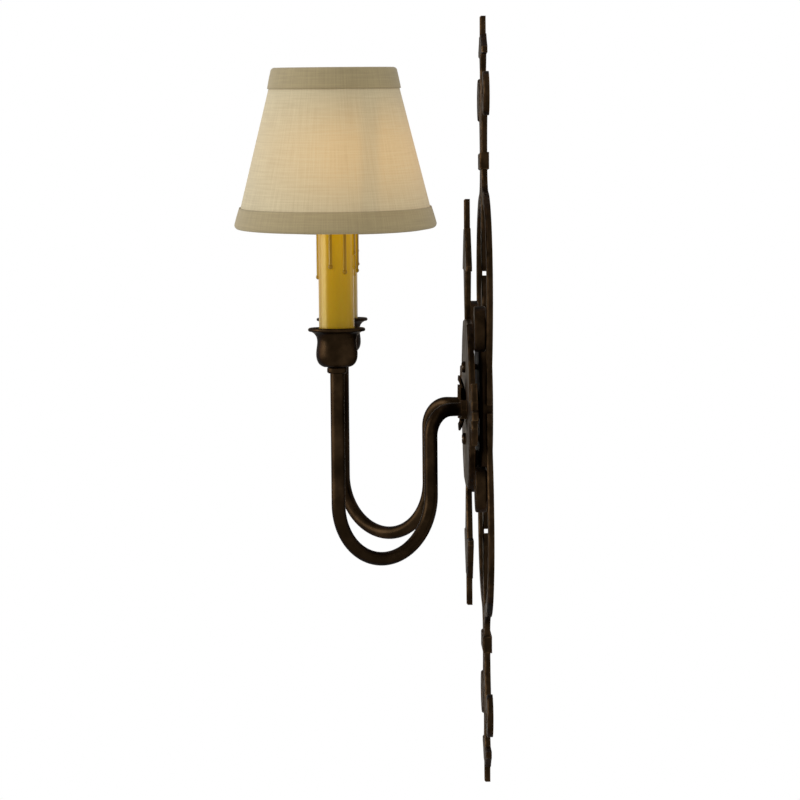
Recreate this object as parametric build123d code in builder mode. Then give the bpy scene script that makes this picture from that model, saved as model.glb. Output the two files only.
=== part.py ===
from build123d import *
import math
import os

# Two-light candle wall light, in millimetres. The wall is the plane Y = 0 and the room is towards -Y.
# +X is to the right as seen from the room and +Z is up. The origin is the centre of the wall strap's slots.
# The right-hand and upper pieces are drawn, and the left-hand and lower ones are their mirror images.

# Clearances
slip = 0.2
seat_gap = 0.1

# Flat ironwork
plate_t = 4.2
bar_w = 10.0
edge_wear = 0.8
collar_t = 1.2
collar_h = 12.0
collar_z = 174.0
ring_depth = 8.0

# Scrolls of the back ornament: petal and volute above the collar, belly and foot below it
petal_r = 62.0
petal_turn = 50.0
volute_r = 12.5
curl_r = 8.5
curl_turn = 150.0
curl_end_r = 5.8
flare_r = 22.0
belly_x = 83.5
belly_z = 86.0
hip_r = 95.0
foot_z = 3.0

# Spears of the back ornament
shaft_hw = 5.0
shaft_foot_z = 104.0
shaft_point = 9.0
spear_tip_z = 277.5
spear_tip_hw = 2.4
spear_prong_h = 13.5
spear_prong_hw = 3.6
spear_shoulder_hw = 12.5
spear_barb_fall = 10.0
spear_barb_hw = 28.0
spear_barb_drop = 4.5
spear_waist_hw = 11.0
spear_neck_h = 11.5

# Leaves that stand on the pan's rim
leaf_tip_z = 92.0
leaf_foot_hw = 5.0
leaf_hw = 11.0
leaf_widest_z = 70.0

# Spacer rings
ring_r = 16.0
ring_bore_r = 9.0
ring_round = 1.4
ring_z = 56.0
ring_lap = 4.5

# Front cross: each arm runs from a neck through a barb to a blunt prong
cross_tip_z = 147.0
cross_tip_hw = 3.2
cross_prong_z = 126.0
cross_prong_hw = 4.4
cross_shoulder_hw = 14.0
cross_barb_z = 99.0
cross_barb_hw = 37.0
cross_barb_drop = 3.5
cross_waist_hw = 19.0
cross_neck_z = 61.0
cross_neck_hw = 5.5
cross_body_z = 58.5
cross_body_hw = 37.0
cross_hip_x = 75.0
cross_hip_hh = 22.0
cross_hip_round = 6.0
side_neck_x = 81.0
side_neck_hh = 7.5
side_waist_hh = 11.0
side_barb_x = 109.0
side_barb_hh = 21.0
side_barb_drop = 3.0
side_shoulder_hh = 9.0
side_prong_x = 117.0
side_prong_hh = 4.0
side_tip_x = 126.0
side_tip_hh = 2.8

# Rosette on the front cross
rosette_r = 20.0
rosette_t = 1.2
rosette_rise = 5.0
rosette_flat_r = 6.5
rosette_notch_r = 2.4
petal_count = 8
rosette_screw_r = 2.0
rosette_head_r = 4.6
rosette_head_h = 2.8

# Screwdriver slots
driver_w = 1.0
driver_deep = 1.1

# Wall pan, strap and screws
pan_wall = 1.0
pan_round = 2.5
strap_w = 18.0
strap_t = 1.6
strap_end = 2.3
strap_corner = 1.0
strap_pan_gap = 1.0
box_screw_spacing = 88.9
slot_w = 4.8
slot_l = 11.0
screw_z = 26.0
screw_r = 2.05
screw_head_r = 4.2
screw_head_h = 2.6
ground_x = 0.0
ground_z = 12.0
ground_r = 1.7
ground_head_r = 3.4
ground_head_h = 2.0

# Arms: bent tube with three nuts on its threaded end
tube_r = 4.75
tube_bore_r = 3.6
arm_x = 28.0
arm_z = -2.5
nut_t = 4.2
nut_flats = 13.0
tube_end = 3.0
stub_end = 22.0
splay_r = 12.0
splay_turn = 38.8
drop_r = 18.0
bend_r = 41.3
bend_centre_z = -61.7
tube_top_z = 47.0
lead_r = 1.1
lead_apart = 2.6

# Candle cup
cup_collar_z = 28.0
cup_collar_h = 4.5
cup_collar_r = 6.8
cup_foot_r = 9.0
cup_belly_r = 14.0
cup_belly_z = 43.5
cup_waist_r = 13.4
cup_waist_z = 51.0
cup_rim_r = 19.1
cup_rim_z = 59.0
cup_lip = 2.0
cup_floor = 3.6
cup_nut_h = 4.0

# Candle sleeve with its drips: angle round the sleeve and height of each bead
sleeve_r = 12.0
sleeve_bore_r = 10.3
sleeve_top_z = 138.0
drip_r = 1.25
bead_r = 1.75
drips = [(-16, 100.5), (30, 97), (78, 110), (92, 100), (104, 95), (-92, 93.5), (160, 104), (215, 98)]

# Socket
socket_r = 9.5
socket_h = 33.0
socket_below_top = 1.5
socket_floor = 5.0
shell_t = 0.5
bracket_t = 1.2
bracket_w = 6.0
foot_t = 1.5

# Bulb
base_r = 5.95
base_h = 24.4
base_tip_h = 3.0
base_tip_r = 2.5
base_contact_gap = 0.6
glass_t = 0.9
glass_neck_r = 5.5
bulb_r = 16.0
bulb_widest_z = 168.0
glass_waist_r = 24.0
glass_taper_r = 75.0
glass_tip_r = 5.0
filament_r = 0.4
filament_hw = 2.5
filament_h = 42.0

# Shade, which leans outwards on its bulb
lean = 4.0
shade_bottom_z = 127.9
shade_h = 105.6
shade_bottom_r = 67.7
shade_top_r = 41.0
cover_t = 0.9
lap_t = 0.35
lap_turn = 9.0
lap_at = 25.0
trim_h = 13.0
trim_t = 0.7
trim_inside_h = 5.0
wire_r = 1.0
clip_wire_r = 0.75
stay_wire_r = 0.6
clip_hw = 10.0
clip_hh = 20.0
clip_side = 14.6

# Depths from the wall, worked out from the layers
back_d = collar_t
back_front_d = back_d + plate_t
cross_d = back_front_d + ring_depth
cross_front_d = cross_d + plate_t
pan_depth = cross_d - nut_t
strap_l = box_screw_spacing + slot_l + 2 * strap_end
pan_r = math.hypot(strap_l / 2 + strap_pan_gap, strap_w / 2) + pan_wall
neck_x = shaft_hw + slip + bar_w / 2
foot_x = pan_r + seat_gap + bar_w / 2

# Centre line of the right candle, from the arm's plan
splay = math.radians(splay_turn)
plan_x = math.sin(splay)
plan_y = -math.cos(splay)
drop_start = Vector(
    arm_x + splay_r * (1 - math.cos(splay)),
    -stub_end - splay_r * math.sin(splay),
    0,
)
reach = drop_r + 2 * bend_r
leg_x = drop_start.X + plan_x * reach
leg_y = drop_start.Y + plan_y * reach

# Planes and axes that the right-hand light is drawn on
leg_plane = Plane(origin=(leg_x, leg_y, 0), x_dir=(1, 0, 0), z_dir=(0, -1, 0))
leg_axis = Axis((leg_x, leg_y, 0), (0, 0, 1))
lean_angle = math.radians(lean)
pivot = (leg_x, leg_y, bulb_widest_z)
shade_out = (math.cos(lean_angle), 0, -math.sin(lean_angle))
shade_up = (math.sin(lean_angle), 0, math.cos(lean_angle))
shade_plane = Plane(origin=pivot, x_dir=shade_out, z_dir=(0, -1, 0))
shade_level = Plane(origin=pivot, x_dir=shade_out, z_dir=shade_up)
lap_out = Vector(shade_out) * math.cos(math.radians(lap_at)) + Vector(0, math.sin(math.radians(lap_at)), 0)
lap_plane = Plane(origin=pivot, x_dir=lap_out, z_dir=lap_out.cross(Vector(shade_up)))
shade_axis = Axis(pivot, shade_up)

os.makedirs("parts", exist_ok=True)


def save(part, name):
    """Label a finished piece and write it under its own name."""
    part.label = name
    export_step(part, f"parts/{name}.step")


def save_pair(part, name):
    """Write a right-hand piece and its mirror image on the left."""
    save(part, "right_" + name)
    with BuildPart() as left:
        mirror(part, about=Plane.YZ)
    save(left.part, "left_" + name)


def save_upper_and_lower(part, upper_name, lower_name):
    """Write an upper piece and its mirror image below."""
    save(part, upper_name)
    with BuildPart() as lower:
        mirror(part, about=Plane.XY)
    save(lower.part, lower_name)


def s_bend(shift, length):
    """Turn in degrees, and summed radii, of two opposite arcs that shift a bar sideways over a length."""
    turn = 2 * math.atan2(shift, length)
    return math.degrees(turn), length / math.sin(turn)


def level_at(z):
    """Horizontal plane through the right candle's centre line at a height."""
    return Plane.XY.offset(z) * Location((leg_x, leg_y, 0))


def wear_front_edges(part):
    """Worn chamfer round the outline of a flat piece's front face."""
    chamfer(part.faces().sort_by(Axis.Y)[0].outer_wire().edges(), edge_wear)


# Scrolls: one bar each, from the curl of the volute through the collar to the foot on the pan's rim
flare_z = collar_z - collar_h / 2
petal_z = collar_z + collar_h / 2
flare_turn, flare_radii = s_bend(belly_x - neck_x, flare_z - belly_z)
hip_turn, hip_radii = s_bend(belly_x - foot_x, belly_z - foot_z)
with BuildPart() as upper_right_scroll:
    with BuildLine(Plane.XZ.offset(back_d)) as scroll_path:
        foot = JernArc((foot_x, foot_z), (0, 1), hip_radii - hip_r, -hip_turn)
        hip = JernArc(foot @ 1, foot % 1, hip_r, hip_turn)
        shoulder = JernArc(hip @ 1, hip % 1, flare_radii - flare_r, flare_turn)
        flare = JernArc(shoulder @ 1, shoulder % 1, flare_r, -flare_turn)
        neck = Line(flare @ 1, flare @ 1 + Vector(0, 0, collar_h))
        petal = JernArc(neck @ 1, neck % 1, petal_r, -petal_turn)
        volute = JernArc(petal @ 1, petal % 1, volute_r, petal_turn - 180)
        curl = JernArc(volute @ 1, volute % 1, curl_r, -curl_turn)
    with BuildSketch(Plane(origin=foot @ 0, x_dir=(1, 0, 0), z_dir=(0, 0, 1))):
        with BuildLine():
            Polyline(
                (-bar_w / 2, 0),
                (bar_w / 2, 0),
                (bar_w / 2, edge_wear - plate_t),
                (bar_w / 2 - edge_wear, -plate_t),
                (edge_wear - bar_w / 2, -plate_t),
                (-bar_w / 2, edge_wear - plate_t),
                close=True,
            )
        make_face()
    sweep(path=scroll_path.wires()[0])
    with BuildSketch(Plane.XZ.offset(back_d)):
        with Locations(((curl @ 1).X, (curl @ 1).Z)):
            Circle(curl_end_r)
    extrude(amount=plate_t)
with BuildPart() as upper_left_scroll:
    mirror(upper_right_scroll.part, about=Plane.YZ)
save_upper_and_lower(upper_right_scroll.part, "upper_right_scroll", "lower_right_scroll")
save_upper_and_lower(upper_left_scroll.part, "upper_left_scroll", "lower_left_scroll")

# Spears: blunt prong, barbs and a shaft that runs down between the two scrolls
spear_prong_z = spear_tip_z - spear_prong_h
spear_barb_z = spear_prong_z - spear_barb_fall
spear_waist_z = spear_barb_z - spear_barb_drop
with BuildPart() as top_spear:
    with BuildSketch(Plane.XZ.offset(back_d)):
        with BuildLine():
            Polyline(
                (0, spear_tip_z),
                (spear_tip_hw, spear_tip_z),
                (spear_prong_hw, spear_prong_z),
                (spear_shoulder_hw, spear_prong_z),
            )
            SagittaArc(
                (spear_shoulder_hw, spear_prong_z),
                (spear_barb_hw, spear_barb_z),
                -edge_wear,
            )
            Polyline(
                (spear_barb_hw, spear_barb_z),
                (spear_barb_hw, spear_waist_z),
                (spear_waist_hw, spear_waist_z),
                (shaft_hw, spear_waist_z - spear_neck_h),
                (shaft_hw, shaft_foot_z),
                (0, shaft_foot_z - shaft_point),
                (0, spear_tip_z),
            )
        make_face()
        mirror(about=Plane.YZ)
    extrude(amount=plate_t)
    wear_front_edges(top_spear)
save_upper_and_lower(top_spear.part, "top_spear", "bottom_spear")

# Collars: flat bands wrapped round a spear shaft and two scroll necks
collar_hw = neck_x + bar_w / 2 + slip
with BuildPart() as top_collar:
    with BuildSketch(Plane.XY.offset(collar_z - collar_h / 2)):
        with Locations((0, -back_d - plate_t / 2)):
            Rectangle(2 * (collar_hw + collar_t), plate_t + 2 * collar_t)
            Rectangle(2 * collar_hw, plate_t, mode=Mode.SUBTRACT)
    extrude(amount=collar_h)
    front = top_collar.faces().sort_by(Axis.Y)[0]
    chamfer(front.edges(), edge_wear)
save_upper_and_lower(top_collar.part, "top_collar", "bottom_collar")

# Leaves: pointed blades that stand on the pan's rim
leaf_foot_z = pan_r + seat_gap
with BuildPart() as upper_leaf:
    with BuildSketch(Plane.XZ.offset(back_d)):
        with BuildLine():
            Line((0, leaf_foot_z), (leaf_foot_hw, leaf_foot_z))
            Spline(
                (leaf_foot_hw, leaf_foot_z),
                (leaf_hw, leaf_widest_z),
                (0, leaf_tip_z),
                tangents=((0, 1), (-1, 1)),
            )
            Line((0, leaf_tip_z), (0, leaf_foot_z))
        make_face()
        mirror(about=Plane.YZ)
    extrude(amount=plate_t)
    wear_front_edges(upper_leaf)
save_upper_and_lower(upper_leaf.part, "upper_leaf", "lower_leaf")

# Spacer rings: each bridges a scroll's belly and the front cross
hip_x = belly_x - hip_r
belly_inner_x = hip_x + math.sqrt((hip_r - bar_w / 2) ** 2 - (belly_z - ring_z) ** 2)
ring_x = belly_inner_x + ring_lap - ring_r
with BuildPart() as spacer_rings:
    with BuildSketch(Plane.XZ.offset(back_front_d)):
        with GridLocations(2 * ring_x, 2 * ring_z, 2, 2):
            Circle(ring_r)
            Circle(ring_bore_r, mode=Mode.SUBTRACT)
    extrude(amount=ring_depth)
    rims = spacer_rings.edges().filter_by(GeomType.CIRCLE)
    fillet(rims.filter_by(lambda rim: rim.radius > ring_bore_r + ring_round), ring_round)
save(spacer_rings.part, "spacer_rings")

# Front cross: its flank laps each spacer ring
ring_away = math.hypot(ring_x, ring_z)
flank_share = (ring_away - ring_r + ring_lap) / ring_away
flank = (ring_x * flank_share, ring_z * flank_share)
with BuildPart() as front_cross:
    with BuildSketch(Plane.XZ.offset(cross_d)) as front_cross_outline:
        with BuildLine():
            Polyline(
                (0, 0),
                (0, cross_tip_z),
                (cross_tip_hw, cross_tip_z),
                (cross_prong_hw, cross_prong_z),
                (cross_shoulder_hw, cross_prong_z),
                (cross_barb_hw, cross_barb_z),
                (cross_barb_hw, cross_barb_z - cross_barb_drop),
                (cross_waist_hw, cross_barb_z - cross_barb_drop),
                (cross_neck_hw, cross_neck_z),
                (cross_body_hw, cross_body_z),
            )
            ThreePointArc((cross_body_hw, cross_body_z), flank, (cross_hip_x, cross_hip_hh))
            Polyline(
                (cross_hip_x, cross_hip_hh),
                (side_neck_x, side_neck_hh),
                (side_barb_x - side_barb_drop, side_waist_hh),
                (side_barb_x - side_barb_drop, side_barb_hh),
                (side_barb_x, side_barb_hh),
                (side_prong_x, side_shoulder_hh),
                (side_prong_x, side_prong_hh),
                (side_tip_x, side_tip_hh),
                (side_tip_x, 0),
                (0, 0),
            )
        make_face()
        hip_corner = front_cross_outline.vertices().sort_by_distance((cross_hip_x, cross_hip_hh, 0))[0]
        fillet(hip_corner, cross_hip_round)
        mirror(about=Plane.YZ)
        mirror(about=Plane.XZ)
    extrude(amount=plate_t)
    wear_front_edges(front_cross)
    with BuildSketch(Plane.XZ.offset(cross_d)):
        with Locations((arm_x, arm_z), (-arm_x, arm_z)):
            Circle(tube_r + slip)
        with Locations((0, screw_z), (0, -screw_z)):
            Circle(screw_r + slip)
        Circle(rosette_screw_r + seat_gap)
    extrude(amount=plate_t, mode=Mode.SUBTRACT)
save(front_cross.part, "front_cross")

# Rosette: dished disc with a notched rim
with BuildPart() as rosette:
    with BuildSketch(Plane.XY):
        with BuildLine():
            foot = Line((0, -cross_front_d), (rosette_flat_r, -cross_front_d))
            rim = Line(
                (rosette_r, -cross_front_d - rosette_rise + rosette_t),
                (rosette_r, -cross_front_d - rosette_rise),
            )
            front = Line(
                (rosette_flat_r, -cross_front_d - rosette_t),
                (0, -cross_front_d - rosette_t),
            )
            TangentArc(foot @ 1, rim @ 0, tangent=(1, 0))
            TangentArc(front @ 0, rim @ 1, tangent=(1, 0))
            Line(front @ 1, foot @ 0)
        make_face()
    revolve(axis=Axis.Y)
    with BuildSketch(Plane.XZ.offset(cross_front_d)):
        with PolarLocations(rosette_r, petal_count):
            Circle(rosette_notch_r)
        Circle(rosette_screw_r + seat_gap)
    extrude(amount=rosette_rise, mode=Mode.SUBTRACT)
save(rosette.part, "rosette")

with BuildPart() as rosette_screw:
    with BuildSketch(Plane.XZ.offset(cross_d)):
        Circle(rosette_screw_r)
    extrude(amount=plate_t + rosette_t)
    with BuildSketch(Plane.XZ.offset(cross_front_d + rosette_t)):
        Circle(rosette_head_r)
    extrude(amount=rosette_head_h)
    crown = rosette_screw.faces().sort_by(Axis.Y)[0]
    fillet(crown.edges(), rosette_head_h - edge_wear)
    with BuildSketch(Plane.XZ.offset(cross_front_d + rosette_t + rosette_head_h)):
        Rectangle(2 * rosette_head_r, driver_w)
    extrude(amount=-driver_deep, mode=Mode.SUBTRACT)
save(rosette_screw.part, "rosette_screw")

# Wall pan: spun dish, open to the wall
with BuildPart() as wall_pan:
    with BuildSketch(Plane.XZ):
        Circle(pan_r)
    extrude(amount=pan_depth)
    fillet(wall_pan.faces().sort_by(Axis.Y)[0].edges(), pan_round)
    offset(amount=-pan_wall, openings=wall_pan.faces().sort_by(Axis.Y)[-1])
    with BuildSketch(Plane.XZ):
        with Locations((arm_x, arm_z), (-arm_x, arm_z)):
            Circle(tube_r + slip)
        with Locations((0, screw_z), (0, -screw_z)):
            Circle(screw_r + slip)
    extrude(amount=pan_depth, mode=Mode.SUBTRACT)
save(wall_pan.part, "wall_pan")

# Wall strap: slotted for the electrical box, tapped for the mounting screws
with BuildPart() as wall_strap:
    with BuildSketch(Plane.XZ):
        Rectangle(strap_w, strap_l)
        with Locations((0, box_screw_spacing / 2), (0, -box_screw_spacing / 2)):
            SlotOverall(slot_l, slot_w, rotation=90, mode=Mode.SUBTRACT)
        with Locations((0, screw_z), (0, -screw_z)):
            Circle(screw_r + seat_gap, mode=Mode.SUBTRACT)
        with Locations((ground_x, ground_z)):
            Circle(ground_r + seat_gap, mode=Mode.SUBTRACT)
    extrude(amount=strap_t)
    chamfer(wall_strap.edges().filter_by(Axis.Y).filter_by(GeomType.LINE).group_by(Axis.Z)[0], strap_corner)
    chamfer(wall_strap.edges().filter_by(Axis.Y).filter_by(GeomType.LINE).group_by(Axis.Z)[-1], strap_corner)
save(wall_strap.part, "wall_strap")

with BuildPart() as ground_screw:
    with BuildSketch(Plane.XZ):
        with Locations((ground_x, ground_z)):
            Circle(ground_r)
    extrude(amount=strap_t)
    with BuildSketch(Plane.XZ.offset(strap_t)):
        with Locations((ground_x, ground_z)):
            Circle(ground_head_r)
    extrude(amount=ground_head_h)
    fillet(ground_screw.faces().sort_by(Axis.Y)[0].edges(), ground_head_h / 2)
    with BuildSketch(Plane.XZ.offset(strap_t + ground_head_h)):
        with Locations((ground_x, ground_z)):
            Rectangle(2 * ground_head_r, driver_w)
    extrude(amount=-driver_deep, mode=Mode.SUBTRACT)
save(ground_screw.part, "ground_screw")

# Mounting screws: round heads on the front cross, threaded into the strap
with BuildPart() as mounting_screws:
    with BuildSketch(Plane.XZ):
        with Locations((0, screw_z), (0, -screw_z)):
            Circle(screw_r)
    extrude(amount=cross_front_d)
    with BuildSketch(Plane.XZ.offset(cross_front_d)):
        with Locations((0, screw_z), (0, -screw_z)):
            Circle(screw_head_r)
    extrude(amount=screw_head_h)
    crowns = mounting_screws.faces().group_by(Axis.Y)[0]
    fillet(crowns.edges(), screw_head_h - edge_wear)
    with BuildSketch(Plane.XZ.offset(cross_front_d + screw_head_h)):
        with Locations((0, screw_z), (0, -screw_z)):
            Rectangle(2 * screw_head_r, driver_w)
    extrude(amount=-driver_deep, mode=Mode.SUBTRACT)
save(mounting_screws.part, "mounting_screws")

# Arms: out of the cross, splayed, down, round the bend and up to the cup
with BuildLine(Plane.XY.offset(arm_z)) as stub_path:
    stub = Line((arm_x, -tube_end), (arm_x, -stub_end))
    JernArc(stub @ 1, stub % 1, splay_r, splay_turn)
arm_plane = Plane(origin=drop_start, x_dir=(plan_x, plan_y, 0), z_dir=(plan_y, -plan_x, 0))
with BuildLine(arm_plane) as swan_path:
    drop = JernArc((0, arm_z), (1, 0), drop_r, -90)
    Line(drop @ 1, arm_plane.from_local_coords(Vector(drop_r, bend_centre_z, 0)))
    ThreePointArc(
        (drop_r, bend_centre_z),
        (drop_r + bend_r, bend_centre_z - bend_r),
        (reach, bend_centre_z),
    )
    Line((reach, bend_centre_z), (reach, tube_top_z))
arm_path = Wire(stub_path.edges() + swan_path.edges())
stub_plane = Plane(origin=(arm_x, -tube_end, arm_z), x_dir=(1, 0, 0), z_dir=(0, -1, 0))
with BuildPart() as right_arm:
    with BuildSketch(stub_plane):
        Circle(tube_r)
        Circle(tube_bore_r, mode=Mode.SUBTRACT)
    sweep(path=arm_path)
save_pair(right_arm.part, "arm")

# Arm nuts: in front of the cross, between cross and pan, and inside the pan
with BuildPart() as arm_nuts:
    for nut_d in (cross_front_d, pan_depth, pan_depth - pan_wall - nut_t):
        with BuildSketch(Plane.XZ.offset(nut_d)):
            with Locations((arm_x, arm_z), (-arm_x, arm_z)):
                RegularPolygon(nut_flats / 2, 6, major_radius=False)
                Circle(tube_r + seat_gap, mode=Mode.SUBTRACT)
        extrude(amount=nut_t)
save(arm_nuts.part, "arm_nuts")

# Lead wires: two conductors from the pan up the arm to the socket
socket_z = sleeve_top_z - socket_below_top - socket_h
with BuildLine(leg_plane) as lead_rise:
    Line((0, tube_top_z), (0, socket_z - seat_gap))
with BuildLine(Plane.XY.offset(arm_z)) as lead_tail:
    Line((arm_x, -seat_gap), (arm_x, -tube_end))
lead_path = Wire(lead_tail.edges() + arm_path.edges() + lead_rise.edges())
with BuildPart() as right_lead_wires:
    with BuildSketch(Plane(origin=(arm_x, -seat_gap, arm_z), x_dir=(1, 0, 0), z_dir=(0, -1, 0))):
        with Locations((0, lead_apart / 2), (0, -lead_apart / 2)):
            Circle(lead_r)
    sweep(path=lead_path)
save_pair(right_lead_wires.part, "lead_wires")

# Cup collar: round nut under the cup
cup_foot_z = cup_collar_z + cup_collar_h
with BuildPart() as right_cup_collar:
    with BuildSketch(level_at(cup_collar_z)):
        Circle(cup_collar_r)
        Circle(tube_r + seat_gap, mode=Mode.SUBTRACT)
    extrude(amount=cup_collar_h)
    rims = right_cup_collar.edges().filter_by(GeomType.CIRCLE).sort_by(SortBy.RADIUS)[-2:]
    fillet(rims, cup_collar_h / 3)
save_pair(right_cup_collar.part, "cup_collar")

# Candle cup: bell-shaped, with a flared lip
cup_floor_z = cup_foot_z + cup_floor
cup_bore_r = sleeve_r + slip
with BuildPart() as right_candle_cup:
    with BuildSketch(leg_plane):
        with BuildLine():
            Line((tube_r + seat_gap, cup_floor_z), (tube_r + seat_gap, cup_foot_z))
            Line((tube_r + seat_gap, cup_foot_z), (cup_foot_r, cup_foot_z))
            Spline(
                (cup_foot_r, cup_foot_z),
                (cup_belly_r, cup_belly_z),
                (cup_waist_r, cup_waist_z),
                (cup_rim_r, cup_rim_z - cup_lip),
                tangents=((1, 0.3), (1, 0.25)),
            )
            SagittaArc((cup_rim_r, cup_rim_z - cup_lip), (cup_rim_r - cup_lip, cup_rim_z), cup_lip / 3)
            Spline(
                (cup_rim_r - cup_lip, cup_rim_z),
                (cup_bore_r, cup_waist_z),
                tangents=((-1, -0.35), (0, -1)),
            )
            Line((cup_bore_r, cup_waist_z), (cup_bore_r, cup_floor_z))
            Line((cup_bore_r, cup_floor_z), (tube_r + seat_gap, cup_floor_z))
        make_face()
    revolve(axis=leg_axis)
save_pair(right_candle_cup.part, "candle_cup")

# Nut that clamps the cup, and the two-legged bracket that carries the socket above it
with BuildPart() as right_cup_nut:
    with BuildSketch(level_at(cup_floor_z)):
        RegularPolygon(nut_flats / 2, 6, major_radius=False)
        Circle(tube_r + seat_gap, mode=Mode.SUBTRACT)
    extrude(amount=cup_nut_h)
save_pair(right_cup_nut.part, "cup_nut")

bracket_z = cup_floor_z + cup_nut_h
bracket_r = socket_r - bracket_t
with BuildPart() as right_socket_bracket:
    with BuildSketch(level_at(bracket_z)):
        Circle(bracket_r)
        Circle(tube_r + seat_gap, mode=Mode.SUBTRACT)
    extrude(amount=foot_t)
    with BuildSketch(level_at(bracket_z)):
        with Locations((bracket_r - bracket_t, 0), (bracket_t - bracket_r, 0)):
            Rectangle(bracket_t, bracket_w)
    extrude(amount=socket_z - bracket_z)
save_pair(right_socket_bracket.part, "socket_bracket")

# Lamp socket: moulded body with a stepped bore for the screw shell
shell_bore_r = base_r + slip
shell_r = shell_bore_r + shell_t
socket_top_z = socket_z + socket_h
shell_z = socket_z + socket_floor
with BuildPart() as right_lamp_socket:
    with BuildSketch(level_at(socket_z)):
        Circle(socket_r)
    extrude(amount=socket_h)
    with BuildSketch(level_at(shell_z)):
        Circle(shell_r + seat_gap)
    extrude(amount=socket_h - socket_floor, mode=Mode.SUBTRACT)
    chamfer(right_lamp_socket.edges().filter_by(GeomType.CIRCLE).group_by(Axis.Z)[-1], shell_t)
save_pair(right_lamp_socket.part, "lamp_socket")

with BuildPart() as right_socket_shell:
    with BuildSketch(level_at(shell_z)):
        Circle(shell_r)
    extrude(amount=socket_h - socket_floor - 2 * shell_t)
    with BuildSketch(level_at(shell_z + shell_t)):
        Circle(shell_bore_r)
    extrude(amount=socket_h, mode=Mode.SUBTRACT)
save_pair(right_socket_shell.part, "socket_shell")

# Candle sleeve: tube with wax drips that run down from its top
with BuildPart() as right_candle_sleeve:
    with BuildSketch(level_at(cup_floor_z + seat_gap)):
        Circle(sleeve_r)
    extrude(amount=sleeve_top_z - cup_floor_z - seat_gap)
    for drip_at, bead_z in drips:
        turn = math.radians(drip_at)
        with BuildSketch(level_at(bead_z)):
            with Locations((sleeve_r * math.cos(turn), sleeve_r * math.sin(turn))):
                Circle(drip_r)
        extrude(amount=sleeve_top_z - bead_z)
        with Locations((leg_x + sleeve_r * math.cos(turn), leg_y + sleeve_r * math.sin(turn), bead_z)):
            Sphere(bead_r)
    with BuildSketch(level_at(cup_floor_z)):
        Circle(sleeve_bore_r)
    extrude(amount=sleeve_top_z, mode=Mode.SUBTRACT)
save_pair(right_candle_sleeve.part, "candle_sleeve")

# Bulb: screw base, hollow torpedo glass and a hairpin filament
base_z = shell_z + shell_t + base_contact_gap
glass_z = base_z + base_h
with BuildPart() as right_bulb_base:
    with BuildSketch(leg_plane):
        with BuildLine():
            Polyline(
                (0, base_z),
                (base_tip_r, base_z),
                (base_r, base_z + base_tip_h),
                (base_r, glass_z),
                (0, glass_z),
                (0, base_z),
            )
        make_face()
    revolve(axis=leg_axis)
save_pair(right_bulb_base.part, "bulb_base")

neck_turn, neck_radii = s_bend(bulb_r - glass_neck_r, bulb_widest_z - glass_z)
taper_turn = math.degrees(math.acos((glass_taper_r - bulb_r) / (glass_taper_r - glass_tip_r)))
with BuildPart() as right_bulb_glass:
    with BuildSketch(leg_plane):
        with BuildLine():
            waist = JernArc((glass_neck_r, glass_z), (0, 1), glass_waist_r, -neck_turn)
            belly = JernArc(waist @ 1, waist % 1, neck_radii - glass_waist_r, neck_turn)
            side = JernArc(belly @ 1, belly % 1, glass_taper_r, taper_turn)
            tip = JernArc(side @ 1, side % 1, glass_tip_r, 90 - taper_turn)
            Polyline(tip @ 1, (0, glass_z), (glass_neck_r, glass_z))
        make_face()
    revolve(axis=leg_axis)
    offset(amount=-glass_t, openings=right_bulb_glass.faces().sort_by(Axis.Z)[0])
save_pair(right_bulb_glass.part, "bulb_glass")

filament_z = glass_z
with BuildPart() as right_bulb_filament:
    with BuildLine(leg_plane) as hairpin:
        leg_up = Line((-filament_hw, filament_z), (-filament_hw, filament_z + filament_h))
        arch = RadiusArc(leg_up @ 1, (filament_hw, filament_z + filament_h), filament_hw)
        Line(arch @ 1, (filament_hw, filament_z))
    with BuildSketch(level_at(filament_z)):
        with Locations((-filament_hw, 0)):
            Circle(filament_r)
    sweep(path=hairpin.wires()[0])
save_pair(right_bulb_filament.part, "bulb_filament")

# Shade: heights from here on are measured along the shade from the clip's pivot
bottom_h = shade_bottom_z - bulb_widest_z
top_h = bottom_h + shade_h
taper = (shade_top_r - shade_bottom_r) / shade_h


def cover_r(height):
    """Outer radius of the shade's cover at a height."""
    return shade_bottom_r + taper * (height - bottom_h)


with BuildPart() as right_shade_cover:
    with BuildSketch(shade_plane):
        with BuildLine():
            Polyline(
                (cover_r(bottom_h), bottom_h),
                (cover_r(top_h), top_h),
                (cover_r(top_h) - cover_t, top_h),
                (cover_r(bottom_h) - cover_t, bottom_h),
                close=True,
            )
        make_face()
    revolve(axis=shade_axis)
    with BuildSketch(lap_plane):
        with BuildLine():
            Polyline(
                (cover_r(bottom_h + trim_h) - cover_t, bottom_h + trim_h),
                (cover_r(bottom_h + trim_h) + lap_t, bottom_h + trim_h),
                (cover_r(top_h - trim_h) + lap_t, top_h - trim_h),
                (cover_r(top_h - trim_h) - cover_t, top_h - trim_h),
                close=True,
            )
        make_face()
    revolve(axis=shade_axis, revolution_arc=lap_turn)
save_pair(right_shade_cover.part, "shade_cover")


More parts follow.
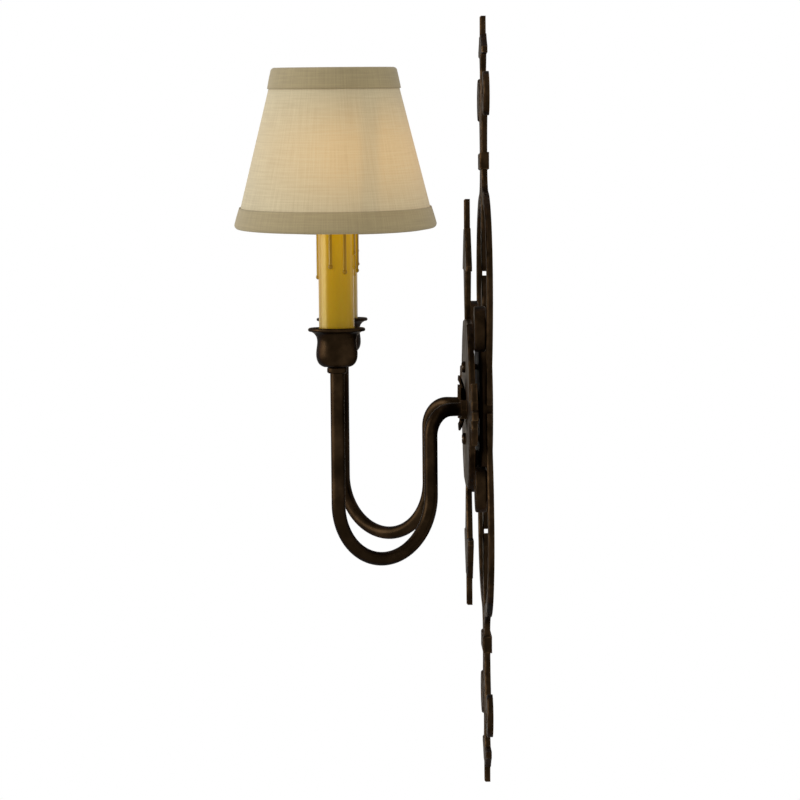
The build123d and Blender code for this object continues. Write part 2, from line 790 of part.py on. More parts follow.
def trim_band(edge_h, inner_edge_h, outer_edge_h):
    """Tape folded over one rim of the shade: over the edge, down the outside and a little way inside."""
    fold_h = edge_h + math.copysign(trim_t, edge_h - outer_edge_h)
    near_h = edge_h + math.copysign(seat_gap, edge_h - outer_edge_h)
    with BuildPart() as band:
        with BuildSketch(shade_plane):
            with BuildLine():
                Polyline(
                    (cover_r(outer_edge_h) + seat_gap, outer_edge_h),
                    (cover_r(outer_edge_h) + seat_gap + trim_t, outer_edge_h),
                    (cover_r(fold_h) + seat_gap + trim_t, fold_h),
                    (cover_r(fold_h) - cover_t - seat_gap - trim_t, fold_h),
                    (cover_r(inner_edge_h) - cover_t - seat_gap - trim_t, inner_edge_h),
                    (cover_r(inner_edge_h) - cover_t - seat_gap, inner_edge_h),
                    (cover_r(near_h) - cover_t - seat_gap, near_h),
                    (cover_r(near_h) + seat_gap, near_h),
                    close=True,
                )
            make_face()
        revolve(axis=shade_axis)
    return band.part


save_pair(trim_band(top_h, top_h - trim_inside_h, top_h - trim_h), "shade_top_trim")
save_pair(trim_band(bottom_h, bottom_h + trim_inside_h, bottom_h + trim_h), "shade_bottom_trim")

# Shade wires: bottom ring, and top ring with two stays that hold the loops of the bulb clip
ring_inset = cover_t + trim_t + 2 * seat_gap + wire_r
bottom_ring_h = bottom_h + wire_r
top_ring_h = top_h - wire_r
with BuildPart() as right_shade_bottom_ring:
    with BuildSketch(shade_plane):
        with Locations((cover_r(bottom_ring_h) - ring_inset, bottom_ring_h)):
            Circle(wire_r)
    revolve(axis=shade_axis)
save_pair(right_shade_bottom_ring.part, "shade_bottom_ring")

top_ring_r = cover_r(top_ring_h) - ring_inset
with BuildPart() as right_shade_frame:
    with BuildSketch(shade_plane):
        with Locations((top_ring_r, top_ring_h)):
            Circle(wire_r)
    revolve(axis=shade_axis)
    for side in (1, -1):
        clip_plane = shade_plane.offset(side * clip_side)
        with BuildLine(clip_plane) as loop:
            straight = Line((clip_hw, clip_hw - clip_hh), (clip_hw, clip_hh - clip_hw))
            ThreePointArc((clip_hw, clip_hh - clip_hw), (0, clip_hh), (-clip_hw, clip_hh - clip_hw))
            Line((-clip_hw, clip_hh - clip_hw), (-clip_hw, clip_hw - clip_hh))
            ThreePointArc((-clip_hw, clip_hw - clip_hh), (0, -clip_hh), (clip_hw, clip_hw - clip_hh))
        with BuildSketch(Plane(origin=straight @ 0, z_dir=straight % 0)):
            Circle(clip_wire_r)
        sweep(path=loop.wires()[0])
        stay_foot = shade_level.from_local_coords(Vector(0, side * -clip_side, clip_hh - clip_wire_r / 2))
        stay_head = shade_level.from_local_coords(Vector(0, side * -top_ring_r, top_ring_h - wire_r / 2))
        with BuildSketch(Plane(origin=stay_foot, z_dir=stay_head - stay_foot)):
            Circle(stay_wire_r)
        extrude(amount=(stay_head - stay_foot).length)
save_pair(right_shade_frame.part, "shade_frame")
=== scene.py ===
import math

import bmesh
import bpy
from mathutils import Euler, Matrix, Vector


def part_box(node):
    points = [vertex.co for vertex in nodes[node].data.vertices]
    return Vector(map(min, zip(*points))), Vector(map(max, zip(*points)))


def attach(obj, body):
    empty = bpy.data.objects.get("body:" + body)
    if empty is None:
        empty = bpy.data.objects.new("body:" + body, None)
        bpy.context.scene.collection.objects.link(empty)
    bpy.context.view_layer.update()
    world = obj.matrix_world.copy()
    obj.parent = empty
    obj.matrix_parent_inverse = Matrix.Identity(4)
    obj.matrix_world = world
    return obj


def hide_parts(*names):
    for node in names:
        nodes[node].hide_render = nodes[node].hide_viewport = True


# A two-light candle wall light, in metres. The wall is Y = 0, the room is towards -Y and +Z is up.
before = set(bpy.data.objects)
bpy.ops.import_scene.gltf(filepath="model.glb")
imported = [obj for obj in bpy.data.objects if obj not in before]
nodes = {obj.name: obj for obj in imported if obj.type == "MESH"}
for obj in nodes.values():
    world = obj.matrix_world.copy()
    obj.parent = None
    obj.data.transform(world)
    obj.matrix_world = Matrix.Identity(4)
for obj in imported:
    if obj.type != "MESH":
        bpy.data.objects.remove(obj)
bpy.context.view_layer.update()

MM = 0.001
SIDES = {"left": -1, "right": 1}

# Centre line of the right candle, which the left one mirrors
cup_low, cup_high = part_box("right_candle_cup")
CANDLE_X = (cup_low[0] + cup_high[0]) / 2
CANDLE_Y = (cup_low[1] + cup_high[1]) / 2

# Shade: the clip's pivot on the bulb and the lean outwards there. Its heights are from that pivot.
PIVOT_Z = 168 * MM
LEAN = math.radians(4)
SHADE_LOW = -40.1 * MM
SHADE_HIGH = 65.5 * MM
SHADE_LOW_R = 67.7 * MM
SHADE_HIGH_R = 41.0 * MM

# Wall of the CAD cone, and the linen that is stretched along its middle
CONE_WALL = 0.8 * MM
LINEN_T = 0.48 * MM
SHADE_ROWS = 24

# Steps of a full spin, and the distance below which its points are merged
ROUND_STEPS = 128
MERGE = 0.01 * MM

# Seam of the linen, lapped on the inside
SEAM_Y = 24 * MM
SEAM_W = 12 * MM
SEAM_INSIDE = 0.55 * MM
SEAM_STEPS = 6

# Tape that is folded over each rim of the shade
TAPE_H = 13 * MM
TAPE_T = 0.65 * MM
TAPE_INSIDE = 5 * MM
TAPE_GAP = 0.15 * MM
TAPE_PUFF = 0.5 * MM
RIM_ROUND = 2.4 * MM
RIM_RISE = 0.8 * MM
TAPE_STEPS = 8

# Bulb's light in the linen: the heights above the lower rim where it starts, is full and ends,
# and its share on the side that looks into the room
GLOW_START = -8 * MM
GLOW_FULL = 52 * MM
GLOW_END = 104 * MM
ROOM_SIDE_GLOW = 0.06

# That light at the seam: its share in the seam's middle, and the distances between which it comes back
SEAM_GLOW = 0.66
SEAM_DARK = 1.8 * MM
SEAM_CLEAR = 9.6 * MM

# Linen threads are really about 0.5 mm apart; they are drawn further apart to show. Slubs are thick spots,
# long in the thread.
THREAD = 1.6 * MM
SLUB_W = 1.5 * MM
SLUB_L = 30 * MM

# Bands in a metre of a wave texture whose scale is 1
UNIT_BANDS = 10 / math.pi

# Candle sleeve, how far a drip stands out of it where the brown starts and is full, and that brown's share
SLEEVE_R = 12 * MM
SLEEVE_TOP = 138 * MM
DRIP_START = 0.3 * MM
DRIP_FULL = 0.8 * MM
DRIP_BROWN = 0.7

# Candle cup, and the bead that its lip is rolled into
CUP_RIM = 59 * MM
BEAD_R = 1.3 * MM
BEAD_RING_R = 18.2 * MM
BEAD_BELOW_RIM = 1.2 * MM
BEAD_STEPS = 12

# Studio, in metres
FLOOR_Z = -1.4
FLOOR_HALF = 6
LAMP_AIM = Vector((0, -0.05, 0.05))
WHITE = (1, 1, 1, 1)
WORLD_LIGHT = 0.55

# Camera: on the light's right, level with its candles, looking slightly down. Its lens and its turns are
# given in pixels of the picture.
IMAGE_PX = 800
FOCAL_PX = 2218
LOOK_DOWN_PX = 139.5
LOOK_ASIDE_PX = 13
ROLL = math.radians(-0.5)
CAMERA_PLACE = (1.600, -0.074, 0.1205)
CAMERA_SHIFT = -0.03
SENSOR_MM = 36


def linear(colour):
    """Linear RGBA from an sRGB hex value."""
    channels = [int(colour[i:i + 2], 16) / 255 for i in (1, 3, 5)]
    return [c / 12.92 if c <= 0.04045 else ((c + 0.055) / 1.055) ** 2.4 for c in channels] + [1]


def add(material, kind, inputs=None, stops=(), **settings):
    """Add a node, set its properties, and give each named input a value or another node's output.

    A colour ramp also takes its stops, as (position, hex colour) pairs.
    """
    tree = material.node_tree
    node = tree.nodes.new(kind)
    for name, value in settings.items():
        setattr(node, name, value)
    for socket, value in (inputs or {}).items():
        if isinstance(value, bpy.types.NodeSocket):
            tree.links.new(value, node.inputs[socket])
        else:
            node.inputs[socket].default_value = value
    for number, (position, colour) in enumerate(stops):
        elements = node.color_ramp.elements
        element = elements[number] if number < len(elements) else elements.new(position)
        element.position = position
        element.color = linear(colour)
    return node


def new_material(name):
    """An empty node material."""
    material = bpy.data.materials.new(name)
    material.use_nodes = True
    material.node_tree.nodes.clear()
    return material


def per_metre(size):
    """Texture scale whose features are about this size."""
    return 1 / size


def bronzed_iron(name, hammered, smooth, rough):
    """Iron under oil-rubbed bronze paint: near black, warm, satin, rubbed brown on edges and high spots."""
    material = new_material(name)
    place = add(material, "ShaderNodeTexCoord").outputs["Object"]
    mottle = add(material, "ShaderNodeTexNoise", {
        "Vector": place, "Scale": per_metre(22 * MM), "Detail": 6, "Roughness": 0.62})
    paint = add(material, "ShaderNodeValToRGB", {"Fac": mottle.outputs["Fac"]}, stops=[
        (0.3, "#150e07"), (0.5, "#21170d"), (0.75, "#36281a")])
    gloss = add(material, "ShaderNodeMapRange", {
        "Value": mottle.outputs["Fac"], "From Min": 0.3, "From Max": 0.7, "To Min": smooth, "To Max": rough})
    grit = add(material, "ShaderNodeTexNoise", {"Vector": place, "Scale": per_metre(1.3 * MM), "Detail": 3})
    relief = add(material, "ShaderNodeBump", {
        "Height": grit.outputs["Fac"], "Strength": 0.18, "Distance": 0.25 * MM})
    # Where a rounded normal turns away from the flat one, there is an edge
    rounded = add(material, "ShaderNodeBevel", {"Radius": 1.3 * MM}, samples=4)
    flat = add(material, "ShaderNodeNewGeometry")
    along = add(material, "ShaderNodeVectorMath", {
        0: rounded.outputs["Normal"], 1: flat.outputs["Normal"]}, operation="DOT_PRODUCT")
    edges = add(material, "ShaderNodeMapRange", {
        "Value": along.outputs["Value"], "From Min": 0.995, "From Max": 0.86})
    wear = edges.outputs["Result"]
    if hammered:
        blows = add(material, "ShaderNodeTexVoronoi", {
            "Vector": place, "Scale": per_metre(9 * MM), "Smoothness": 0.6}, feature="SMOOTH_F1")
        relief = add(material, "ShaderNodeBump", {
            "Height": blows.outputs["Distance"], "Strength": 0.6, "Distance": 1.2 * MM,
            "Normal": relief.outputs["Normal"]})
        ridges = add(material, "ShaderNodeMapRange", {
            "Value": blows.outputs["Distance"], "From Min": 0.2, "From Max": 0.75, "To Max": 0.16})
        high = add(material, "ShaderNodeMath", {0: wear, 1: ridges.outputs["Result"]}, operation="MAXIMUM")
        wear = high.outputs["Value"]
    scuff = add(material, "ShaderNodeTexNoise", {"Vector": place, "Scale": per_metre(5 * MM), "Detail": 4})
    rubbed = add(material, "ShaderNodeMapRange", {
        "Value": scuff.outputs["Fac"], "From Min": 0.36, "From Max": 0.64})
    worn = add(material, "ShaderNodeMath", {0: wear, 1: rubbed.outputs["Result"]}, operation="MULTIPLY")
    colour = add(material, "ShaderNodeMix", {
        "Factor": worn.outputs["Value"], "A": paint.outputs["Color"], "B": linear("#58422b")},
        data_type="RGBA")
    shader = add(material, "ShaderNodeBsdfPrincipled", {
        "Base Color": colour.outputs["Result"],
        "Roughness": gloss.outputs["Result"],
        "Normal": relief.outputs["Normal"],
        "Metallic": 0.8,
        "Specular IOR Level": 0.2,
        "Specular Tint": linear("#8f7a48")})
    add(material, "ShaderNodeOutputMaterial", {"Surface": shader.outputs["BSDF"]})
    return material


def plain_metal(name, dark, light, roughness):
    """Drawn or turned metal: fine streaks of colour and gloss."""
    material = new_material(name)
    place = add(material, "ShaderNodeTexCoord").outputs["Object"]
    stretched = add(material, "ShaderNodeMapping", {"Vector": place, "Scale": (1, 1, 12)})
    streaks = add(material, "ShaderNodeTexNoise", {
        "Vector": stretched.outputs["Vector"], "Scale": per_metre(6 * MM), "Detail": 5})
    colour = add(material, "ShaderNodeValToRGB", {"Fac": streaks.outputs["Fac"]}, stops=[
        (0.3, dark), (0.7, light)])
    gloss = add(material, "ShaderNodeMapRange", {
        "Value": streaks.outputs["Fac"], "To Min": roughness - 0.08, "To Max": roughness + 0.1})
    shader = add(material, "ShaderNodeBsdfPrincipled", {
        "Base Color": colour.outputs["Color"],
        "Roughness": gloss.outputs["Result"],
        "Metallic": 1})
    add(material, "ShaderNodeOutputMaterial", {"Surface": shader.outputs["BSDF"]})
    return material


def moulded(name, dark, light, roughness):
    """Moulded plastic: a matte skin with slight mottling and fine orange peel."""
    material = new_material(name)
    place = add(material, "ShaderNodeTexCoord").outputs["Object"]
    mottle = add(material, "ShaderNodeTexNoise", {"Vector": place, "Scale": per_metre(8 * MM), "Detail": 4})
    colour = add(material, "ShaderNodeValToRGB", {"Fac": mottle.outputs["Fac"]}, stops=[
        (0.35, dark), (0.65, light)])
    peel = add(material, "ShaderNodeTexNoise", {"Vector": place, "Scale": per_metre(1 * MM)})
    relief = add(material, "ShaderNodeBump", {
        "Height": peel.outputs["Fac"], "Strength": 0.1, "Distance": 0.2 * MM})
    shader = add(material, "ShaderNodeBsdfPrincipled", {
        "Base Color": colour.outputs["Color"],
        "Normal": relief.outputs["Normal"],
        "Roughness": roughness})
    add(material, "ShaderNodeOutputMaterial", {"Surface": shader.outputs["BSDF"]})
    return material


def amber_resin(side):
    """Cast resin made to look like a tallow candle: amber, waxy, browner where drips run down it, and
    painted lighter and glowing at its top as if lit by the bulb.
    """
    material = new_material(side + " amber resin")
    place = add(material, "ShaderNodeTexCoord").outputs["Object"]
    centred = add(material, "ShaderNodeMapping", {
        "Vector": place, "Location": (-SIDES[side] * CANDLE_X, -CANDLE_Y, 0)})
    parts = add(material, "ShaderNodeSeparateXYZ", {"Vector": centred.outputs["Vector"]})
    flat = add(material, "ShaderNodeCombineXYZ", {"X": parts.outputs["X"], "Y": parts.outputs["Y"]})
    away = add(material, "ShaderNodeVectorMath", {0: flat.outputs["Vector"]}, operation="LENGTH")
    drips = add(material, "ShaderNodeMapRange", {
        "Value": away.outputs["Value"], "From Min": SLEEVE_R + DRIP_START, "From Max": SLEEVE_R + DRIP_FULL})
    browned = add(material, "ShaderNodeMath", {
        0: drips.outputs["Result"], 1: DRIP_BROWN}, operation="MULTIPLY")
    height = add(material, "ShaderNodeMapRange", {
        "Value": parts.outputs["Z"], "From Min": CUP_RIM, "From Max": SLEEVE_TOP})
    # Random clouding in the resin, and painted light: the wax is lighter towards the top, where the bulb
    # above shines on it
    cloud = add(material, "ShaderNodeTexNoise", {"Vector": place, "Scale": per_metre(14 * MM), "Detail": 5})
    clouded_and_top_lit = add(material, "ShaderNodeMath", {
        0: cloud.outputs["Fac"], 1: 0.35, 2: height.outputs["Result"]}, operation="MULTIPLY_ADD")
    wax = add(material, "ShaderNodeValToRGB", {"Fac": clouded_and_top_lit.outputs["Value"]}, stops=[
        (0.1, "#a98508"), (0.6, "#a88000"), (1.0, "#b88a00")])
    colour = add(material, "ShaderNodeMix", {
        "Factor": browned.outputs["Value"], "A": wax.outputs["Color"], "B": linear("#7a5616")},
        data_type="RGBA")
    dents = add(material, "ShaderNodeTexNoise", {"Vector": place, "Scale": per_metre(7 * MM), "Detail": 2})
    relief = add(material, "ShaderNodeBump", {
        "Height": dents.outputs["Fac"], "Strength": 0.25, "Distance": 0.6 * MM})
    # Painted light: the top of the candle glows as if the bulb above shone on it, and its drips glow less
    bare = add(material, "ShaderNodeMath", {0: 1, 1: browned.outputs["Value"]}, operation="SUBTRACT")
    painted_glow_rise = add(material, "ShaderNodeMath", {0: height.outputs["Result"], 1: 2}, operation="POWER")
    lit = add(material, "ShaderNodeMath", {
        0: painted_glow_rise.outputs["Value"], 1: bare.outputs["Value"]}, operation="MULTIPLY")
    glow = add(material, "ShaderNodeValToRGB", {"Fac": lit.outputs["Value"]}, stops=[
        (0, "#000000"), (1, "#a07c00")])
    shader = add(material, "ShaderNodeBsdfPrincipled", {
        "Base Color": colour.outputs["Result"],
        "Normal": relief.outputs["Normal"],
        "Emission Color": glow.outputs["Color"],
        "Emission Strength": 1,
        "Roughness": 0.29,
        "Specular IOR Level": 0.55,
        "Specular Tint": linear("#ecdf98"),
        "Subsurface Weight": 0.25,
        "Subsurface Radius": (4 * MM, 2 * MM, 0.6 * MM)})
    add(material, "ShaderNodeOutputMaterial", {"Surface": shader.outputs["BSDF"]})
    return material


def linen(name, dark, light, bulb_glow_colour):
    """Plain-woven flax cloth: slubbed threads both ways, warm where the bulb shines through."""
    material = new_material(name)
    cloth = add(material, "ShaderNodeUVMap", uv_map="cloth").outputs["UV"]
    threads = []
    for way in ("X", "Y"):
        wave = add(material, "ShaderNodeTexWave", {
            "Vector": cloth, "Scale": per_metre(THREAD) / UNIT_BANDS, "Distortion": 1.5, "Detail": 2,
            "Detail Scale": 2}, bands_direction=way)
        threads.append(wave.outputs["Fac"])
    weave = add(material, "ShaderNodeMath", {0: threads[0], 1: threads[1]}, operation="MAXIMUM")
    thick_spots = []
    for stretch in ((1, SLUB_W / SLUB_L, 1), (SLUB_W / SLUB_L, 1, 1)):
        drawn_out = add(material, "ShaderNodeMapping", {"Vector": cloth, "Scale": stretch})
        spots = add(material, "ShaderNodeTexNoise", {
            "Vector": drawn_out.outputs["Vector"], "Scale": per_metre(SLUB_W), "Detail": 3})
        thick_spots.append(spots.outputs["Fac"])
    slubs = add(material, "ShaderNodeMath", {0: thick_spots[0], 1: thick_spots[1]}, operation="ADD")
    yarn = add(material, "ShaderNodeMath", {
        0: weave.outputs["Value"], 1: 0.2, 2: slubs.outputs["Value"]}, operation="MULTIPLY_ADD")
    tone = add(material, "ShaderNodeMapRange", {
        "Value": yarn.outputs["Value"], "From Min": 0.8, "From Max": 1.5})
    colour = add(material, "ShaderNodeValToRGB", {"Fac": tone.outputs["Result"]}, stops=[
        (0, dark), (1, light)])
    relief = add(material, "ShaderNodeBump", {
        "Height": yarn.outputs["Value"], "Strength": 0.3, "Distance": 0.3 * MM})
    # The glow is fullest at the bulb's height and towards the wall, and weaker in slubs and at the seam
    rise = add(material, "ShaderNodeSeparateXYZ", {"Vector": cloth}).outputs["Y"]
    below = add(material, "ShaderNodeMapRange", {
        "Value": rise, "From Min": GLOW_START, "From Max": GLOW_FULL}, interpolation_type="SMOOTHSTEP")
    above = add(material, "ShaderNodeMapRange", {
        "Value": rise, "From Min": GLOW_END, "From Max": GLOW_FULL}, interpolation_type="SMOOTHSTEP")
    place = add(material, "ShaderNodeTexCoord").outputs["Object"]
    depth = add(material, "ShaderNodeSeparateXYZ", {"Vector": place}).outputs["Y"]
    wallward = add(material, "ShaderNodeMapRange", {
        "Value": depth, "From Min": CANDLE_Y - SHADE_LOW_R, "From Max": CANDLE_Y,
        "To Min": ROOM_SIDE_GLOW, "To Max": 1})
    thin = add(material, "ShaderNodeMapRange", {
        "Value": slubs.outputs["Value"], "From Min": 0.6, "From Max": 1.4, "To Min": 1.25, "To Max": 0.75})
    beside_seam = add(material, "ShaderNodeAttribute", attribute_name="seam").outputs["Fac"]
    single = add(material, "ShaderNodeMapRange", {
        "Value": beside_seam, "From Min": SEAM_DARK, "From Max": SEAM_CLEAR,
        "To Min": SEAM_GLOW, "To Max": 1}, interpolation_type="SMOOTHSTEP")
    through = below.outputs["Result"]
    for share in (above, wallward, thin, single):
        part = add(material, "ShaderNodeMath", {
            0: through, 1: share.outputs["Result"]}, operation="MULTIPLY")
        through = part.outputs["Value"]
    glow = add(material, "ShaderNodeValToRGB", {"Fac": through}, stops=[(0, "#000000"), (1, bulb_glow_colour)])
    shader = add(material, "ShaderNodeBsdfPrincipled", {
        "Base Color": colour.outputs["Color"],
        "Normal": relief.outputs["Normal"],
        "Emission Color": glow.outputs["Color"],
        "Emission Strength": 1,
        "Roughness": 0.9,
        "Sheen Weight": 0.2})
    add(material, "ShaderNodeOutputMaterial", {"Surface": shader.outputs["BSDF"]})
    return material


def clear_glass():
    """Blown bulb glass: thin, clear, glossy."""
    material = new_material("blown bulb glass")
    place = add(material, "ShaderNodeTexCoord").outputs["Object"]
    ripple = add(material, "ShaderNodeTexNoise", {"Vector": place, "Scale": per_metre(15 * MM)})
    relief = add(material, "ShaderNodeBump", {
        "Height": ripple.outputs["Fac"], "Strength": 0.05, "Distance": 0.3 * MM})
    shader = add(material, "ShaderNodeBsdfPrincipled", {
        "Base Color": linear("#f7f3e8"),
        "Normal": relief.outputs["Normal"],
        "Roughness": 0.03,
        "IOR": 1.5,
        "Transmission Weight": 0.95})
    add(material, "ShaderNodeOutputMaterial", {"Surface": shader.outputs["BSDF"]})
    return material


def glowing_wire():
    """Tungsten wire at a warm dim heat."""
    material = new_material("lit filament wire")
    shader = add(material, "ShaderNodeBsdfPrincipled", {
        "Base Color": linear("#6b5b4a"),
        "Emission Color": linear("#ffb45a"),
        "Emission Strength": 2.5})
    add(material, "ShaderNodeOutputMaterial", {"Surface": shader.outputs["BSDF"]})
    return material


def shade_place(side):
    """From the shade's own frame to the row frame: leaned outwards at the clip's pivot."""
    sign = SIDES[side]
    return Matrix.Translation((sign * CANDLE_X, CANDLE_Y, PIVOT_Z)) @ Matrix.Rotation(sign * LEAN, 4, "Y")


def cone_r(height):
    """Outer radius of the shade's cloth at a height."""
    share = (height - SHADE_LOW) / (SHADE_HIGH - SHADE_LOW)
    return SHADE_LOW_R + share * (SHADE_HIGH_R - SHADE_LOW_R)


def evenly(low, high, steps):
    """Values from low to high in equal steps."""
    return [low + (high - low) * step / steps for step in range(steps + 1)]


def spun(mesh, profile, closed, turn=2 * math.pi, steps=ROUND_STEPS):
    """Spin a profile of (radius, height) points about the Z axis; returns the new faces."""
    points = [mesh.verts.new((r, 0, h)) for r, h in profile]
    pairs = zip(points, points[1:] + points[:1] if closed else points[1:])
    edges = [mesh.edges.new(pair) for pair in pairs]
    before = set(mesh.faces)
    bmesh.ops.spin(mesh, geom=points + edges, cent=(0, 0, 0), axis=(0, 0, 1), angle=turn, steps=steps,
                   use_merge=turn >= 2 * math.pi)
    return [face for face in mesh.faces if face not in before]


def close_up(mesh):
    """Merge the points where a spin meets itself, and point the faces outwards."""
    bmesh.ops.remove_doubles(mesh, verts=mesh.verts, dist=MERGE)
    bmesh.ops.recalc_face_normals(mesh, faces=mesh.faces)


def lay_cloth(mesh, side):
    """UV map in metres, round the shade and up it, and each point's distance from the seam."""
    layer = mesh.loops.layers.uv.new("cloth")
    seam = mesh.verts.layers.float.new("seam")
    sign = SIDES[side]
    for vert in mesh.verts:
        vert[seam] = abs(vert.co.y - SEAM_Y) if vert.co.x * sign > 0 else SHADE_LOW_R
    for face in mesh.faces:
        middle = face.calc_center_median()
        middle_turn = math.atan2(middle.y, sign * middle.x)
        for loop in face.loops:
            point = loop.vert.co
            turn = math.atan2(point.y, sign * point.x)
            turn += 2 * math.pi * round((middle_turn - turn) / (2 * math.pi))
            loop[layer].uv = (turn * SHADE_LOW_R, point.z - SHADE_LOW)


def finished(mesh, name, place, materials, body):
    """Move a bmesh to its place and turn it into a smooth object that rides on a body."""
    bmesh.ops.transform(mesh, matrix=place, verts=mesh.verts)
    for face in mesh.faces:
        face.smooth = True
    data = bpy.data.meshes.new(name)
    mesh.to_mesh(data)
    mesh.free()
    piece = bpy.data.objects.new(name, data)
    bpy.context.scene.collection.objects.link(piece)
    for material in materials:
        data.materials.append(material)
    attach(piece, body)
    return piece


def cloth_cover(side, cloth, doubled):
    """The shade's linen: a cone whose seam is lapped on the inside, replacing the plain CAD cone."""
    mesh = bmesh.new()
    heights = evenly(SHADE_LOW, SHADE_HIGH, SHADE_ROWS)
    spun(mesh, [(cone_r(h) - CONE_WALL / 2, h) for h in heights], closed=False)
    lap_heights = evenly(SHADE_LOW + TAPE_H, SHADE_HIGH - TAPE_H, SHADE_ROWS)
    lap = [(cone_r(h) - CONE_WALL / 2 - SEAM_INSIDE, h) for h in lap_heights]
    strip = spun(mesh, lap, closed=False, turn=1.0, steps=SEAM_STEPS)
    # The seam runs straight up. Its strip is spun by one radian, so that a point's angle is its share of the
    # seam's width.
    for vert in {corner for face in strip for corner in face.verts}:
        share = math.atan2(vert.co.y, vert.co.x)
        radius = math.hypot(vert.co.x, vert.co.y)
        vert.co.y = SEAM_Y + (share - 0.5) * SEAM_W
        vert.co.x = SIDES[side] * math.sqrt(radius ** 2 - vert.co.y ** 2)
    strip_area = sum(face.calc_area() for face in strip)
    for face in strip:
        face.material_index = 1
    close_up(mesh)
    lay_cloth(mesh, side)
    piece = finished(mesh, side + "_shade_linen", shade_place(side), [cloth, doubled], side + "_shade")
    wall = piece.modifiers.new("cloth thickness", "SOLIDIFY")
    wall.thickness = LINEN_T
    wall.offset = 0
    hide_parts(side + "_shade_cover")
    return piece


def folded_tape(side, where, cloth):
    """Linen tape folded over one rim of the shade: a little puffed, with a round shoulder at the rim."""
    up = 1 if where == "top" else -1
    rim = SHADE_HIGH if where == "top" else SHADE_LOW
    edge = rim - up * TAPE_H
    inner = rim - up * TAPE_INSIDE
    shoulder = rim - up * (RIM_ROUND - RIM_RISE)
    outside = TAPE_GAP + TAPE_T / 2
    inside = -CONE_WALL - TAPE_GAP - TAPE_T / 2
    quarter = evenly(0, math.pi / 2, TAPE_STEPS)
    profile = []
    for height, turn in zip(evenly(edge, shoulder, TAPE_STEPS), quarter):
        profile.append((cone_r(height) + outside + TAPE_PUFF * math.sin(turn), height))
    outer_r = profile[-1][0]
    inner_r = cone_r(rim) + inside
    for turn in quarter[1:]:
        radius = inner_r + (outer_r - inner_r) * math.cos(turn)
        profile.append((radius, shoulder + up * RIM_ROUND * math.sin(turn)))
    profile += [(cone_r(h) + inside, h) for h in (rim, (rim + inner) / 2, inner)]
    mesh = bmesh.new()
    spun(mesh, profile, closed=False)
    close_up(mesh)
    lay_cloth(mesh, side)
    piece = finished(mesh, f"{side}_shade_{where}_tape", shade_place(side), [cloth], side + "_shade")
    wall = piece.modifiers.new("tape thickness", "SOLIDIFY")
    wall.thickness = TAPE_T
    wall.offset = 0
    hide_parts(f"{side}_shade_{where}_trim")
    return piece


def lip_bead(side, iron):
    """The rolled edge of a candle cup: a round bead all along its flared lip."""
    turns = evenly(0, 2 * math.pi, BEAD_STEPS)[:-1]
    profile = [(BEAD_RING_R + BEAD_R * math.cos(turn), BEAD_R * math.sin(turn)) for turn in turns]
    mesh = bmesh.new()
    spun(mesh, profile, closed=True)
    close_up(mesh)
    place = Matrix.Translation((SIDES[side] * CANDLE_X, CANDLE_Y, CUP_RIM - BEAD_BELOW_RIM))
    piece = finished(mesh, side + "_cup_lip_bead", place, [iron], "fixture")
    return piece


def seen_directly(material):
    """1 for what the camera, reflections and glass see, and 0 for light that falls on the object."""
    path = add(material, "ShaderNodeLightPath")
    seen = add(material, "ShaderNodeMath", {
        0: path.outputs["Is Camera Ray"], 1: path.outputs["Is Glossy Ray"]}, operation="MAXIMUM")
    shown = add(material, "ShaderNodeMath", {
        0: seen.outputs["Value"], 1: path.outputs["Is Transmission Ray"]}, operation="MAXIMUM")
    return shown.outputs["Value"]


def floor_paint():
    """Matte white paint: it throws light back up at the object, and is seen as plain white."""
    material = new_material("white floor paint")
    matte = add(material, "ShaderNodeBsdfDiffuse", {"Color": linear("#e8e6e2")})
    plain = add(material, "ShaderNodeEmission", {"Color": WHITE, "Strength": 1.0})
    mix = add(material, "ShaderNodeMixShader", {
        0: seen_directly(material), 1: matte.outputs["BSDF"], 2: plain.outputs["Emission"]})
    add(material, "ShaderNodeOutputMaterial", {"Surface": mix.outputs["Shader"]})
    return material


def soft_lamp(name, place, width, height, watts):
    """A soft box that points at the light's middle."""
    data = bpy.data.lights.new(name, "AREA")
    data.shape = "RECTANGLE"
    data.size = width
    data.size_y = height
    data.energy = watts
    lamp = bpy.data.objects.new(name, data)
    bpy.context.scene.collection.objects.link(lamp)
    lamp.location = place
    lamp.rotation_euler = (LAMP_AIM - Vector(place)).to_track_quat("-Z", "Y").to_euler()
    return lamp


# Finishes of the CAD pieces. What isn't named here is hammered ironwork.
hammered_iron = bronzed_iron("hammered bronzed iron", hammered=True, smooth=0.34, rough=0.56)
rubbed_iron = bronzed_iron("rubbed bronzed tube", hammered=False, smooth=0.26, rough=0.46)
brass = plain_metal("drawn brass", "#8a6a2c", "#c9a356", 0.3)
zinc = plain_metal("zinc-plated steel", "#8b8c88", "#b9bab6", 0.35)
phenolic = moulded("black phenolic", "#17151a", "#26221f", 0.55)
insulation = moulded("brown wire insulation", "#4a3418", "#6a4b24", 0.6)
resin = {side: amber_resin(side) for side in SIDES}
FINISHES = {
    "wall_strap": zinc, "ground_screw": zinc, "cup_nut": zinc, "socket_bracket": zinc,
    "wall_pan": rubbed_iron, "rosette_screw": rubbed_iron, "mounting_screws": rubbed_iron,
    "arm": rubbed_iron, "cup_collar": rubbed_iron, "candle_cup": rubbed_iron,
    "lamp_socket": phenolic, "lead_wires": insulation,
    "socket_shell": brass, "bulb_base": brass, "shade_frame": brass, "shade_bottom_ring": brass,
    "bulb_glass": clear_glass(), "bulb_filament": glowing_wire(),
}
for name, node in nodes.items():
    side, _, rest = name.partition("_")
    kind = rest if side in SIDES else name
    finish = resin[side] if kind == "candle_sleeve" else FINISHES.get(kind, hammered_iron)
    for slot in node.material_slots:
        slot.material = finish
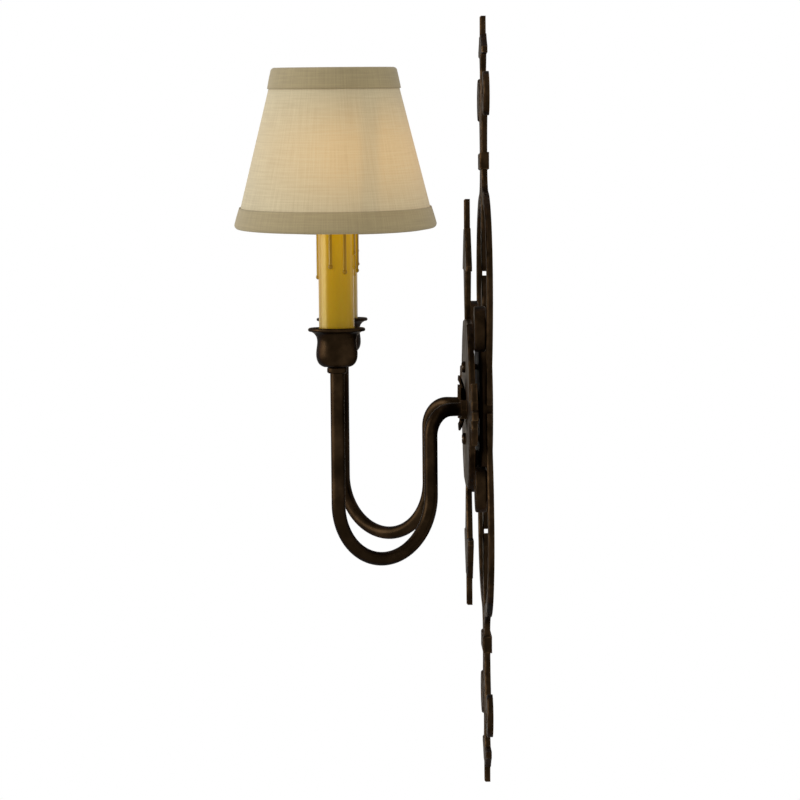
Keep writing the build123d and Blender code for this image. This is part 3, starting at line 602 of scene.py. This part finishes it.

# Shades and cup lips
# The last colour of each linen is the painted glow of the bulb's light shining through it
cover_linen = linen("natural linen, lit from inside", "#b8ab8b", "#cec09c", "#855b18")
doubled_linen = linen("natural linen, two layers, lit from inside", "#b6a888", "#cbbd99", "#7a5314")
tape_linen = linen("folded linen tape", "#978866", "#a99972", "#5c3f10")
for side in SIDES:
    lip_bead(side, rubbed_iron)
    cloth_cover(side, cover_linen, doubled_linen)
    for where in ("top", "bottom"):
        folded_tape(side, where, tape_linen)

# White surroundings for what is seen, soft grey light for the rest
world = bpy.data.worlds.new("white studio")
bpy.context.scene.world = world
world.use_nodes = True
world.node_tree.nodes.clear()
strength = add(world, "ShaderNodeMapRange", {
    "Value": seen_directly(world), "To Min": WORLD_LIGHT, "To Max": 1.0})
sky = add(world, "ShaderNodeBackground", {"Color": WHITE, "Strength": strength.outputs["Result"]})
add(world, "ShaderNodeOutputWorld", {"Surface": sky.outputs["Background"]})

# Pale floor, well below the light
floor_mesh = bmesh.new()
bmesh.ops.create_grid(floor_mesh, x_segments=1, y_segments=1, size=FLOOR_HALF)
bmesh.ops.translate(floor_mesh, vec=(0, 0, FLOOR_Z), verts=floor_mesh.verts)
floor_data = bpy.data.meshes.new("floor")
floor_mesh.to_mesh(floor_data)
floor_mesh.free()
floor_data.materials.append(floor_paint())
floor = bpy.data.objects.new("floor", floor_data)
bpy.context.scene.collection.objects.link(floor)

# The fill would show as a white patch in the iron, so reflections leave it out. The reflector is only a
# broad shine on iron and wax, and adds no light to the cloth.
soft_lamp("tall key strip", place=(0.5, -1.8, 0.5), width=0.4, height=1.2, watts=16)
fill = soft_lamp("wall-side fill", place=(1.6, 1.1, 0.4), width=1.2, height=1.2, watts=9)
fill.visible_glossy = False
reflector = soft_lamp("broad reflector", place=(-0.1, -1.85, 0.4), width=0.9, height=1.4, watts=17)
reflector.visible_diffuse = False

camera_data = bpy.data.cameras.new("camera")
camera_data.sensor_width = SENSOR_MM
camera_data.lens = FOCAL_PX / IMAGE_PX * SENSOR_MM
camera_data.shift_y = CAMERA_SHIFT
camera = bpy.data.objects.new("camera", camera_data)
bpy.context.scene.collection.objects.link(camera)
camera.location = CAMERA_PLACE
tilt = math.pi / 2 - math.atan2(LOOK_DOWN_PX, FOCAL_PX)
heading = math.pi / 2 - math.atan2(LOOK_ASIDE_PX, FOCAL_PX)
level = Euler((tilt, 0, heading)).to_matrix()
camera.rotation_euler = (level @ Matrix.Rotation(ROLL, 3, "Z")).to_euler()
bpy.context.scene.camera = camera
bpy.context.scene.view_settings.view_transform = "Standard"
